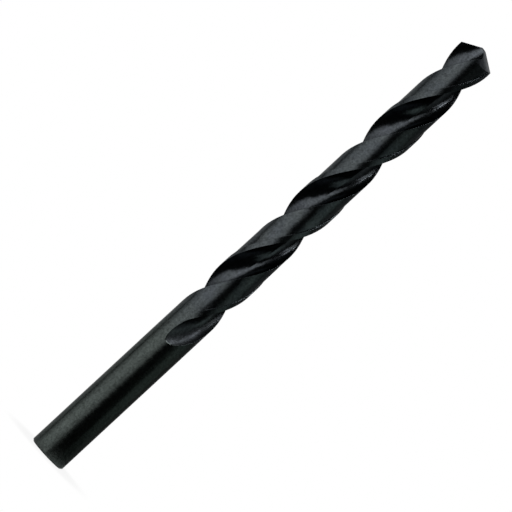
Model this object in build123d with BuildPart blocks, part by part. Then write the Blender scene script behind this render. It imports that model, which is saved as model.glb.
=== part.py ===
from build123d import *
import math
import os

# Jobber-length twist drill, 11/32 in, right-hand helix and right-hand cut.
# The drill stands on its shank: +Z runs up the axis to the point, the origin is the
# centre of the shank's end face, and the two cutting lips lie parallel to X.
# All sizes are in millimetres and degrees.

drill_diameter = 8.73
overall_length = 120.65
flute_length = 87.1

# Plain shank, slightly under the drill's size, with a small bevel round its end.
shank_diameter = 8.55
shank_bevel = 0.35
shank_to_body_taper = 6.0

# Flutes: the advance of the helix in one turn, the core left between the two flutes at
# the point, how much thicker it gets for each millimetre down, and the groove's shape.
helix_lead = 43.3
web_at_point = 1.5
web_growth = 0.02
flute_floor_radius = 2.1
heel_wall_slope = 80.0
runout_length = 7.0

# Lands: a narrow margin at full size behind each cutting corner, and behind it the
# body clearance, which is shallowest where the flutes begin.
margin_width = 1.2
clearance_at_point = 0.31
clearance_at_shank = 0.12
clearance_fade = 32.0

# Point: both flanks are ground as parts of a cone that is tipped over and set off to
# one side, so that each flank falls away behind its lip.
point_angle = 118.0
flank_cone_angle = 60.0
flank_cone_reach = 10.5
flank_cone_offset = 2.45

drill_radius = drill_diameter / 2
shank_radius = shank_diameter / 2
core = web_at_point / 2
half_point = math.radians(point_angle / 2)
half_flank = math.radians(flank_cone_angle / 2)
helix_angle = math.atan(math.pi * drill_diameter / helix_lead)
twist = 360 / helix_lead
outside = drill_radius + 1.5

# Each lip is a straight line beside the centre. It ends at the outer corner, and the
# flute's floor lies at the angle floor_angle at the height of that corner.
lip_reach = math.sqrt(drill_radius**2 - core**2)
corner_height = overall_length - (drill_radius - core) / math.tan(half_point)
floor_angle = 90 - twist * lip_reach / math.tan(half_point)
margin_angle = math.degrees(margin_width / math.cos(helix_angle) / drill_radius)

flute_end = overall_length - flute_length
flute_start = flute_end + runout_length
clearance_start = flute_start + shank_to_body_taper / 2
above_point = overall_length + 1.0


def polar(radius, angle):
    """Point at a radius and an angle in degrees."""
    return Vector(radius * math.cos(math.radians(angle)), radius * math.sin(math.radians(angle)))


def section_plane(height):
    """Plane across the drill, turned with the helix and unturned at the outer corners."""
    return Plane.XY.offset(height).rotated((0, 0, twist * (height - corner_height)))


def floor_rise(height):
    """How far the flute has moved out from where it lies at the point."""
    grown = web_growth / 2 * max(corner_height - max(height, flute_start), 0)
    below = max(flute_start - height, 0)
    climb = math.sqrt(drill_radius**2 - (core + grown) ** 2) / runout_length
    return math.hypot(core + grown, climb * below) - core


def rake_point(radius):
    """Point of the rake face that gives a straight lip on the cone of the point."""
    across = math.sqrt(radius**2 - core**2)
    lag = twist * (lip_reach - across) / math.tan(half_point)
    return polar(radius, math.degrees(math.asin(core / radius)) - lag)


def flute_outline(height):
    """Flute across the axis: rake face, round floor and the wall up to the heel."""
    rise = Vector(0, floor_rise(height))
    radii = [outside, drill_radius, 0.75 * drill_radius, 0.5 * drill_radius, 0.25 * drill_radius + core / 2]
    rake = [rake_point(radius) + rise for radius in radii] + [polar(core, floor_angle) + rise]
    with BuildSketch(section_plane(height)) as outline:
        with BuildLine():
            face = Spline(*rake, tangents=[rake[1] - rake[0], polar(1, floor_angle + 90)])
            floor = JernArc(face @ 1, face % 1, flute_floor_radius, heel_wall_slope - floor_angle - 90)
            wall = PolarLine(floor @ 1, outside, heel_wall_slope)
            top = Line(wall @ 1, ((face @ 0).X, (wall @ 1).Y))
            Line(top @ 1, face @ 0)
        make_face()
    return outline.sketch


def margin_outline(height):
    """Ring sector from the back of the margin to just past its cutting corner."""
    corner = math.degrees(math.asin((core + floor_rise(height)) / drill_radius))
    first = corner - margin_angle
    last = corner + margin_angle / 2
    middle = (first + last) / 2
    buried = drill_radius / 2
    with BuildSketch(section_plane(height)) as outline:
        with BuildLine():
            inner = ThreePointArc(polar(buried, first), polar(buried, middle), polar(buried, last))
            front = Line(inner @ 1, polar(outside, last))
            outer = ThreePointArc(front @ 1, polar(outside, middle), polar(outside, first))
            Line(outer @ 1, inner @ 0)
        make_face()
    return outline.sketch


def wound(outline, bottom, top, steps):
    """Solid that follows the helix between two heights."""
    sections = [outline(bottom + (top - bottom) * step / steps) for step in range(steps + 1)]
    with BuildPart() as solid:
        loft(sections)
    return solid.part


def long_wound(outline, bottom, top):
    """The same in lengths of at most two thirds of a turn."""
    count = math.ceil((top - bottom) / (helix_lead * 2 / 3))
    length = (top - bottom) / count
    return [wound(outline, bottom + index * length, bottom + (index + 1) * length, 10) for index in range(count)]


# One flute: the run-out that climbs out at the shank, then the groove up to the point.
flutes = [wound(flute_outline, flute_end - runout_length / 10, flute_start, 12)]
flutes += long_wound(flute_outline, flute_start, above_point)

# The margins rise out of the body clearance near the shank and reach the drill's size
# over a short taper.
with BuildPart() as margins:
    for rib in long_wound(margin_outline, flute_start, above_point):
        add(rib)
        add(rib.rotate(Axis.Z, 180))
    with BuildSketch(Plane.XZ):
        with BuildLine():
            Polyline(
                (0, flute_start),
                (shank_radius - clearance_at_shank, flute_start),
                (drill_radius, flute_start + shank_to_body_taper),
                (drill_radius, above_point),
                (0, above_point),
                close=True,
            )
        make_face()
    revolve(axis=Axis.Z, mode=Mode.INTERSECT)

# Cone of one flank: its axis leans from the drill's axis. The drill's axis meets it at the
# depth below its tip that solves a * depth**2 + 2 * b * depth + c = 0, and that is where the
# chisel edge lies, at the overall length.
lean = half_point - half_flank
a = math.cos(lean) ** 2 - math.cos(half_flank) ** 2
b = flank_cone_reach * math.sin(lean) * math.cos(lean)
c = flank_cone_reach**2 * (math.sin(lean) ** 2 - math.cos(half_flank) ** 2)
c -= (flank_cone_offset * math.cos(half_flank)) ** 2
depth = -c / (b + math.sqrt(b**2 - a * c))
cone_tip = (-flank_cone_reach, flank_cone_offset, overall_length + depth)
cone_axis = (math.sin(lean), 0, -math.cos(lean))

# What the grinding of one flank takes away: everything round the tip that lies outside
# the cone.
with BuildPart() as flank_grind:
    with BuildSketch(Plane(origin=cone_tip, x_dir=(0, 1, 0), z_dir=(-math.cos(lean), 0, -math.sin(lean)))):
        with BuildLine():
            near = flank_cone_reach / 2
            far = 1.5 * (flank_cone_reach + drill_diameter)
            flare = math.tan(half_flank)
            Polyline((near * flare, near), (far * flare, far), (far, far), (far, near), close=True)
        make_face()
    revolve(axis=Axis(cone_tip, cone_axis))

with BuildPart() as twist_drill:
    with BuildSketch(Plane.XZ):
        with BuildLine():
            Polyline(
                (0, 0),
                (shank_radius - shank_bevel, 0),
                (shank_radius, shank_bevel),
                (shank_radius, flute_end),
                (drill_radius - clearance_at_shank, clearance_start),
                (drill_radius - clearance_at_point, clearance_start + clearance_fade),
                (drill_radius - clearance_at_point, above_point),
                (0, above_point),
                close=True,
            )
        make_face()
    revolve(axis=Axis.Z)
    add(margins.part)
    for ground_away in flutes + [flank_grind.part]:
        add(ground_away, mode=Mode.SUBTRACT)
        add(ground_away.rotate(Axis.Z, 180), mode=Mode.SUBTRACT)

os.makedirs("parts", exist_ok=True)
twist_drill.part.label = "twist_drill"
export_step(twist_drill.part, "parts/twist_drill.step")
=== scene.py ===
import math

import bmesh
import bpy
from mathutils import Matrix, Vector

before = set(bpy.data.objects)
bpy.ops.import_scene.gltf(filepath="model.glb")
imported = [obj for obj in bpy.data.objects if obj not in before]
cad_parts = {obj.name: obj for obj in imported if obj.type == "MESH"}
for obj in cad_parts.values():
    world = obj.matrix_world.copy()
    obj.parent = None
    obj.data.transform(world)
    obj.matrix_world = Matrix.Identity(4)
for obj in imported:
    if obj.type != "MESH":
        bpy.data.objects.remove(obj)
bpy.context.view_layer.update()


# Camera. The drill stands on its shank, and the photograph shows it slanting up to the
# right. So the camera looks level at the middle of the drill, from three degrees round
# from the front, and is rolled until the axis slants as it does there.
turn = math.radians(3.0)
slant = math.radians(42.77)
distance = 0.7
view_width = 0.10363
aim_aside = -0.000745
aim_height = 0.05840
film_width = 36

forward = Vector((-math.sin(turn), math.cos(turn), 0))
across = Vector((math.cos(turn), math.sin(turn), 0))
along = Vector((0, 0, 1))
right = across * math.sin(slant) + along * math.cos(slant)
up = -across * math.cos(slant) + along * math.sin(slant)
aim = across * aim_aside + along * aim_height
stand = Matrix((right, up, -forward)).transposed().to_4x4()
stand.translation = aim - forward * distance

camera_data = bpy.data.cameras.new("photo_camera")
camera_data.sensor_width = film_width
camera_data.lens = film_width * distance / view_width
camera_data.clip_start = 0.05
camera_data.clip_end = 20
camera = bpy.data.objects.new("photo_camera", camera_data)
camera.matrix_world = stand
bpy.context.scene.collection.objects.link(camera)
bpy.context.scene.camera = camera


# The drill. It is one piece of hardened high-speed steel, ground from a round rod and then
# blacked in a hot bath. The oxide is a thin blue-black skin on the metal: it gives back
# little light, softly, and the marks of the grinding wheels still show through it.
def linear(hex_colour):
    """One sRGB hex colour as linear red, green, blue and alpha."""
    parts = [int(hex_colour[i:i + 2], 16) / 255 for i in (1, 3, 5)]
    return [c / 12.92 if c <= 0.04045 else ((c + 0.055) / 1.055) ** 2.4 for c in parts] + [1]


def add_node(tree, kind, settings=None, inputs=None, links=None):
    """Add a node, set its properties and inputs, and link sockets of other nodes to it."""
    node = tree.nodes.new(kind)
    for key, value in (settings or {}).items():
        setattr(node, key, value)
    for key, value in (inputs or {}).items():
        node.inputs[key].default_value = value
    for key, socket in (links or {}).items():
        tree.links.new(socket, node.inputs[key])
    return node


oxide = bpy.data.materials.new("black_oxide_high_speed_steel")
oxide.use_nodes = True
tree = oxide.node_tree
tree.nodes.clear()
on_drill = add_node(tree, "ShaderNodeTexCoord").outputs["Object"]
up_drill = add_node(tree, "ShaderNodeSeparateXYZ", links={"Vector": on_drill}).outputs["Z"]

# The bath and use have broken every edge that the wheels left, over about a tenth of a
# millimetre. So it catches the light, and its skin is thinner and paler. The wear begins
# where the softened surface has turned by 14 degrees and is full at 31.
edge_radius = 0.00008
soft_edge = add_node(tree, "ShaderNodeBevel", {"samples": 16},
                     {"Radius": edge_radius}).outputs["Normal"]
true_normal = add_node(tree, "ShaderNodeNewGeometry").outputs["True Normal"]
facing = add_node(tree, "ShaderNodeVectorMath", {"operation": "DOT_PRODUCT"},
                  links={0: soft_edge, 1: true_normal})
worn_edge = add_node(tree, "ShaderNodeMapRange", inputs={"From Min": 0.97, "From Max": 0.86},
                     links={"Value": facing.outputs["Value"]})

# The shank and the lands were ground round, and everything inside them by the flutes'
# wheel. The change lies about 0.05 mm under the lands, which are 4.25 mm from the axis
# where the flutes begin and 4.06 mm from the middle up.
clearance_start = 0.040
clearance_full = 0.0756
shank_top = 0.0334
flutes_full = 0.046
from_axis = add_node(tree, "ShaderNodeVectorMath", {"operation": "MULTIPLY"}, {1: (1, 1, 0)},
                     {0: on_drill})
radius = add_node(tree, "ShaderNodeVectorMath", {"operation": "LENGTH"},
                  links={0: from_axis.outputs["Vector"]})
under_land = add_node(tree, "ShaderNodeMapRange",
                      inputs={"From Min": clearance_start, "From Max": clearance_full,
                              "To Min": 0.00420, "To Max": 0.00400},
                      links={"Value": up_drill})
above = add_node(tree, "ShaderNodeMath", {"operation": "SUBTRACT"},
                 links={0: radius.outputs["Value"], 1: under_land.outputs["Result"]})
on_land = add_node(tree, "ShaderNodeMapRange",
                   inputs={"From Min": -0.00004, "From Max": 0.00003},
                   links={"Value": above.outputs[0]})
on_shank = add_node(tree, "ShaderNodeMapRange",
                    inputs={"From Min": shank_top - 0.0004, "From Max": shank_top,
                            "To Min": 1.0, "To Max": 0.0},
                    links={"Value": up_drill})
ground_round = add_node(tree, "ShaderNodeMath", {"operation": "MAXIMUM"},
                        links={0: on_land.outputs["Result"],
                               1: on_shank.outputs["Result"]}).outputs[0]

# The bath leaves soft clouds, a few millimetres wide. The flutes come out bluest and
# palest, the lands a little darker, and the shank greenest and darkest.
cloud_width = 0.00385
clouds = add_node(tree, "ShaderNodeTexNoise",
                  inputs={"Scale": 1 / cloud_width, "Detail": 3, "Roughness": 0.55},
                  links={"Vector": on_drill})
tints = {}
for part, darker, paler in (("flute", "#3a3d41", "#3d4143"),
                            ("land", "#393d40", "#3d4142"),
                            ("shank", "#363b39", "#3a3f3d")):
    ramp = add_node(tree, "ShaderNodeValToRGB", links={"Fac": clouds.outputs["Fac"]})
    dark_end, pale_end = ramp.color_ramp.elements
    dark_end.position, dark_end.color = 0.35, linear(darker)
    pale_end.position, pale_end.color = 0.68, linear(paler)
    tints[part] = ramp.outputs["Color"]
up_the_body = add_node(tree, "ShaderNodeMapRange",
                       inputs={"From Min": 0.032, "From Max": flutes_full},
                       links={"Value": up_drill})
round_tint = add_node(tree, "ShaderNodeMix", {"data_type": "RGBA"},
                      links={"Factor": up_the_body.outputs["Result"],
                             "A": tints["shank"], "B": tints["land"]})
tint = add_node(tree, "ShaderNodeMix", {"data_type": "RGBA"},
                links={"Factor": ground_round, "A": tints["flute"],
                       "B": round_tint.outputs["Result"]})

# The blacked skin is speckled. The real specks are a few hundredths of a millimetre and
# are drawn 0.5 mm wide, so that they show as they do in the photograph.
speck_width = 0.0005
specks = add_node(tree, "ShaderNodeTexNoise",
                  inputs={"Scale": 1 / speck_width, "Detail": 3, "Roughness": 0.7},
                  links={"Vector": on_drill})
speck_shade = add_node(tree, "ShaderNodeMapRange",
                       inputs={"From Min": 0.3, "From Max": 0.7,
                               "To Min": 0.55, "To Max": 1.45},
                       links={"Value": specks.outputs["Fac"]})
speckled = add_node(tree, "ShaderNodeVectorMath", {"operation": "SCALE"},
                    links={0: tint.outputs["Result"], "Scale": speck_shade.outputs["Result"]})

# The top four millimetres, at the point, are drawn a quarter paler.
point_start = 0.1165
point_paler = add_node(tree, "ShaderNodeMapRange",
                       inputs={"From Min": point_start, "From Max": point_start + 0.002,
                               "To Min": 1.0, "To Max": 1.25},
                       links={"Value": up_drill})
pointed = add_node(tree, "ShaderNodeVectorMath", {"operation": "SCALE"},
                   links={0: speckled.outputs["Vector"],
                          "Scale": point_paler.outputs["Result"]})
edged = add_node(tree, "ShaderNodeMix", {"data_type": "RGBA"}, {"B": linear("#414549")},
                 {"Factor": worn_edge.outputs["Result"], "A": pointed.outputs["Vector"]})

# The wheels left rings round the lands and the shank, and lines along the flutes, which
# are straight once the helix is unwound. The real marks are about 0.02 mm apart and are
# drawn 0.3 mm apart, and they are 12 to 17 times as long as they are wide.
mark_width = 0.000303
helix_lead = 0.0433
ring_place = add_node(tree, "ShaderNodeVectorMath", {"operation": "MULTIPLY"},
                      {1: (0.08, 0.08, 1)}, {0: on_drill})
rings = add_node(tree, "ShaderNodeTexNoise", inputs={"Scale": 1 / mark_width, "Detail": 2},
                 links={"Vector": ring_place.outputs["Vector"]})
unwound = add_node(tree, "ShaderNodeMath", {"operation": "MULTIPLY"},
                   {1: -2 * math.pi / helix_lead}, {0: up_drill})
straight = add_node(tree, "ShaderNodeVectorRotate", {"rotation_type": "Z_AXIS"},
                    links={"Vector": on_drill, "Angle": unwound.outputs[0]})
line_place = add_node(tree, "ShaderNodeVectorMath", {"operation": "MULTIPLY"},
                      {1: (1, 1, 0.06)}, {0: straight.outputs["Vector"]})
lines = add_node(tree, "ShaderNodeTexNoise", inputs={"Scale": 1 / mark_width, "Detail": 2},
                 links={"Vector": line_place.outputs["Vector"]})
marks = add_node(tree, "ShaderNodeMix", {"data_type": "FLOAT"},
                 links={"Factor": ground_round, "A": lines.outputs["Fac"],
                        "B": rings.outputs["Fac"]})

# The wheel left the flutes smoother than the lands, but dull where they climb out of the
# shank, and the specks vary both.
smooth_flute = add_node(tree, "ShaderNodeMapRange", inputs={"To Min": 0.14, "To Max": 0.23},
                        links={"Value": specks.outputs["Fac"]})
dull_start = add_node(tree, "ShaderNodeMapRange",
                      inputs={"From Min": 0.037, "From Max": flutes_full,
                              "To Min": 0.26, "To Max": 0.0},
                      links={"Value": up_drill})
flute_rough = add_node(tree, "ShaderNodeMath", {"operation": "ADD"},
                       links={0: smooth_flute.outputs["Result"],
                              1: dull_start.outputs["Result"]})
land_rough = add_node(tree, "ShaderNodeMapRange", inputs={"To Min": 0.18, "To Max": 0.29},
                      links={"Value": specks.outputs["Fac"]})
rough = add_node(tree, "ShaderNodeMix", {"data_type": "FLOAT"},
                 links={"Factor": ground_round, "A": flute_rough.outputs[0],
                        "B": land_rough.outputs["Result"]})

# The marks and specks are at most 0.02 mm deep and lie on the softened surface. Seen at a
# slant, the skin mirrors less than bare steel does, so its tint there is grey.
skin_depth = 0.00002
mark_bump = add_node(tree, "ShaderNodeBump",
                     inputs={"Strength": 0.25, "Distance": skin_depth},
                     links={"Height": marks.outputs["Result"], "Normal": soft_edge})
speck_bump = add_node(tree, "ShaderNodeBump",
                      inputs={"Strength": 0.6, "Distance": skin_depth},
                      links={"Height": specks.outputs["Fac"],
                             "Normal": mark_bump.outputs["Normal"]})
steel = add_node(tree, "ShaderNodeBsdfPrincipled",
                 inputs={"Metallic": 1.0, "Specular Tint": linear("#c4c4c4")},
                 links={"Base Color": edged.outputs["Result"],
                        "Roughness": rough.outputs["Result"],
                        "Normal": speck_bump.outputs["Normal"]})
add_node(tree, "ShaderNodeOutputMaterial", links={"Surface": steel.outputs["BSDF"]})

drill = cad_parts["twist_drill"]
drill.data.materials.clear()
drill.data.materials.append(oxide)


# Floor. It is a small round table top of matt pale card, and the drill stands on it on its
# shank's end. The eye and the metal see it as white as the wall behind, and near the drill
# it keeps a tenth of its own colour, which shows the drill's shadow.
card_radius = 0.015
card_mesh = bmesh.new()
bmesh.ops.create_circle(card_mesh, cap_ends=True, segments=96, radius=card_radius)
floor_mesh = bpy.data.meshes.new("floor")
card_mesh.to_mesh(floor_mesh)
card_mesh.free()
floor = bpy.data.objects.new("floor", floor_mesh)
bpy.context.scene.collection.objects.link(floor)

card = bpy.data.materials.new("pale_card")
card.use_nodes = True
tree = card.node_tree
tree.nodes.clear()
on_card = add_node(tree, "ShaderNodeTexCoord").outputs["Object"]
from_middle = add_node(tree, "ShaderNodeVectorMath", {"operation": "LENGTH"},
                       links={0: on_card})
whiteness = add_node(tree, "ShaderNodeMapRange", {"interpolation_type": "SMOOTHSTEP"},
                     inputs={"From Min": 0.4 * card_radius, "From Max": 0.9 * card_radius,
                             "To Min": 0.9, "To Max": 1.0},
                     links={"Value": from_middle.outputs["Value"]})
seen_by = add_node(tree, "ShaderNodeLightPath")
mirrored = add_node(tree, "ShaderNodeMath", {"operation": "MAXIMUM"},
                    links={0: seen_by.outputs["Is Glossy Ray"],
                           1: seen_by.outputs["Is Transmission Ray"]})
seen = add_node(tree, "ShaderNodeMath", {"operation": "MAXIMUM"},
                links={0: seen_by.outputs["Is Camera Ray"], 1: mirrored.outputs[0]})
share = add_node(tree, "ShaderNodeMath", {"operation": "MULTIPLY"},
                 links={0: seen.outputs[0], 1: whiteness.outputs["Result"]})
matt = add_node(tree, "ShaderNodeBsdfDiffuse", inputs={"Color": linear("#ededed")})
white = add_node(tree, "ShaderNodeEmission",
                 inputs={"Color": linear("#ffffff"), "Strength": 1.0})
blend = add_node(tree, "ShaderNodeMixShader",
                 links={0: share.outputs[0], 1: matt.outputs[0], 2: white.outputs[0]})
add_node(tree, "ShaderNodeOutputMaterial", links={"Surface": blend.outputs[0]})
floor.data.materials.append(card)


# Studio. The eye sees white all round. The drill mirrors a white wall behind it, brighter
# on the left, a dim room to the right and above, and darkness below and round the camera.
world = bpy.data.worlds.new("studio")
bpy.context.scene.world = world
world.use_nodes = True
tree = world.node_tree
tree.nodes.clear()
way = add_node(tree, "ShaderNodeTexCoord").outputs["Generated"]
split = add_node(tree, "ShaderNodeSeparateXYZ", links={"Vector": way})

# The wall begins a little behind the drill's sides and fades from the left to the right.
wall = add_node(tree, "ShaderNodeMapRange",
                inputs={"From Min": 0.15, "From Max": 0.45, "To Min": 0.0, "To Max": 1.0},
                links={"Value": split.outputs["Y"]})
wall_side = add_node(tree, "ShaderNodeMapRange",
                     inputs={"From Min": -0.3, "From Max": 0.5,
                             "To Min": 0.95, "To Max": 0.2},
                     links={"Value": split.outputs["X"]})
wall_light = add_node(tree, "ShaderNodeMath", {"operation": "MULTIPLY"},
                      links={0: wall.outputs["Result"], 1: wall_side.outputs["Result"]})

# The room on the right is lit from 3 degrees above level, fully from 14 degrees, and
# dims again higher up. The ramp runs from straight down, 0, over level, 0.5, to 1.
room_side = add_node(tree, "ShaderNodeMapRange",
                     inputs={"From Min": 0.45, "From Max": 0.98,
                             "To Min": 0.0, "To Max": 0.25},
                     links={"Value": split.outputs["X"]})
level = add_node(tree, "ShaderNodeMapRange", inputs={"From Min": -1.0, "From Max": 1.0},
                 links={"Value": split.outputs["Z"]})
room_height = add_node(tree, "ShaderNodeValToRGB", links={"Fac": level.outputs["Result"]})
stops = room_height.color_ramp.elements
stops[0].position, stops[1].position = 0.53, 0.62
stops.new(0.75)
stops.new(0.86)
for stop, light in zip(stops, (0, 1, 0.8, 0.4)):
    stop.color = (light, light, light, 1)
room_light = add_node(tree, "ShaderNodeMath", {"operation": "MULTIPLY"},
                      links={0: room_side.outputs["Result"],
                             1: room_height.outputs["Color"]})

least_light = 0.015
studio_light = add_node(tree, "ShaderNodeMath", {"operation": "ADD"},
                        inputs={1: least_light}, links={0: room_light.outputs[0]})
studio = add_node(tree, "ShaderNodeBackground", inputs={"Color": linear("#f6fffa")},
                  links={"Strength": studio_light.outputs[0]})
white = add_node(tree, "ShaderNodeBackground",
                 inputs={"Color": linear("#ffffff"), "Strength": 1.0})
seen_by = add_node(tree, "ShaderNodeLightPath")
mirrored = add_node(tree, "ShaderNodeMath", {"operation": "MAXIMUM"},
                    links={0: seen_by.outputs["Is Glossy Ray"],
                           1: seen_by.outputs["Is Transmission Ray"]})
wall_share = add_node(tree, "ShaderNodeMath", {"operation": "MULTIPLY"},
                      links={0: mirrored.outputs[0], 1: wall_light.outputs[0]})
share = add_node(tree, "ShaderNodeMath", {"operation": "MAXIMUM"},
                 links={0: seen_by.outputs["Is Camera Ray"], 1: wall_share.outputs[0]})
blend = add_node(tree, "ShaderNodeMixShader",
                 links={0: share.outputs[0], 1: studio.outputs[0], 2: white.outputs[0]})
add_node(tree, "ShaderNodeOutputWorld", links={"Surface": blend.outputs[0]})


# Lamps. They are soft boxes and boards of stretched white cloth, hung round the drill and
# turned to its middle. A cloth is brightest round one place and dims towards its edge.
def soft_box(name, azimuth, elevation, distance, width, height, radiance, edge,
             roll=0, brightest=(0, 0), colour="#ffffff"):
    """Lamp whose azimuth runs from the front to the right, with sizes in metres."""
    data = bpy.data.lights.new(name, "AREA")
    data.shape = "RECTANGLE"
    data.color = linear(colour)[:3]
    data.size = width
    data.size_y = height
    data.energy = radiance * math.pi * width * height
    a, e = math.radians(azimuth), math.radians(elevation)
    out = Vector((math.sin(a) * math.cos(e), -math.cos(a) * math.cos(e), math.sin(e)))
    turned = out.to_track_quat("Z", "Y").to_matrix() @ Matrix.Rotation(math.radians(roll), 3, "Z")
    middle = Vector((0, 0, 0.06))
    lamp = bpy.data.objects.new(name, data)
    lamp.matrix_world = Matrix.Translation(middle + out * distance) @ turned.to_4x4()
    lamp.visible_camera = False
    bpy.context.scene.collection.objects.link(lamp)

    # Places on the cloth run from -1 to 1 both ways, and its corners lie 1.4 away.
    data.use_nodes = True
    tree = data.node_tree
    tree.nodes.clear()
    on_cloth = add_node(tree, "ShaderNodeNewGeometry").outputs["Parametric"]
    off_middle = add_node(tree, "ShaderNodeVectorMath", {"operation": "MULTIPLY_ADD"},
                          {1: (2, 2, 0), 2: (-1 - brightest[0], -1 - brightest[1], 0)},
                          {0: on_cloth})
    away = add_node(tree, "ShaderNodeVectorMath", {"operation": "LENGTH"},
                    links={0: off_middle.outputs["Vector"]})
    dimmed = add_node(tree, "ShaderNodeMapRange", {"interpolation_type": "SMOOTHSTEP"},
                      {"From Max": 1.4, "To Min": 1.0, "To Max": edge},
                      {"Value": away.outputs["Value"]})
    cloth = add_node(tree, "ShaderNodeEmission", links={"Strength": dimmed.outputs["Result"]})
    add_node(tree, "ShaderNodeOutputLight", links={"Surface": cloth.outputs[0]})


# The main light comes from the left and the front.
soft_box("large_soft_box", azimuth=-62, elevation=-14, roll=8.4, distance=0.8, width=1.05,
         height=0.92, radiance=1.8, edge=0.42, brightest=(0.3, 0.15))
soft_box("front_soft_box", azimuth=-18, elevation=8, roll=36, distance=0.8, width=0.56,
         height=0.5, radiance=2.0, edge=0.3)

# A strip and a small bright lamp, near the drill and above the camera, light the flutes,
# and a weak box fills the gap between them and the front's.
soft_box("top_strip", azimuth=4, elevation=54, roll=-20, distance=0.33, width=0.4,
         height=0.035, radiance=2.8, edge=0.7)
soft_box("top_lamp", azimuth=-4, elevation=56, roll=-20, distance=0.33, width=0.12,
         height=0.055, radiance=14.0, edge=0.7)
soft_box("bridge", azimuth=3, elevation=20, distance=0.8, width=0.17, height=0.3,
         radiance=0.85, edge=0.6)

# Dim boards close on the right lift the dark side, and a box lights the drill from behind.
soft_box("side_board", azimuth=69, elevation=3.2, distance=0.15, width=0.17, height=0.08,
         radiance=0.55, edge=0.36, brightest=(0, 0.25), colour="#ecfff7")
soft_box("back_box", azimuth=158, elevation=38, distance=0.8, width=0.36, height=0.3,
         radiance=0.7, edge=0.5)
soft_box("low_board", azimuth=87, elevation=-17, distance=0.15, width=0.14, height=0.035,
         radiance=0.36, edge=0.6, colour="#ecfff7")

bpy.context.scene.view_settings.view_transform = "Standard"
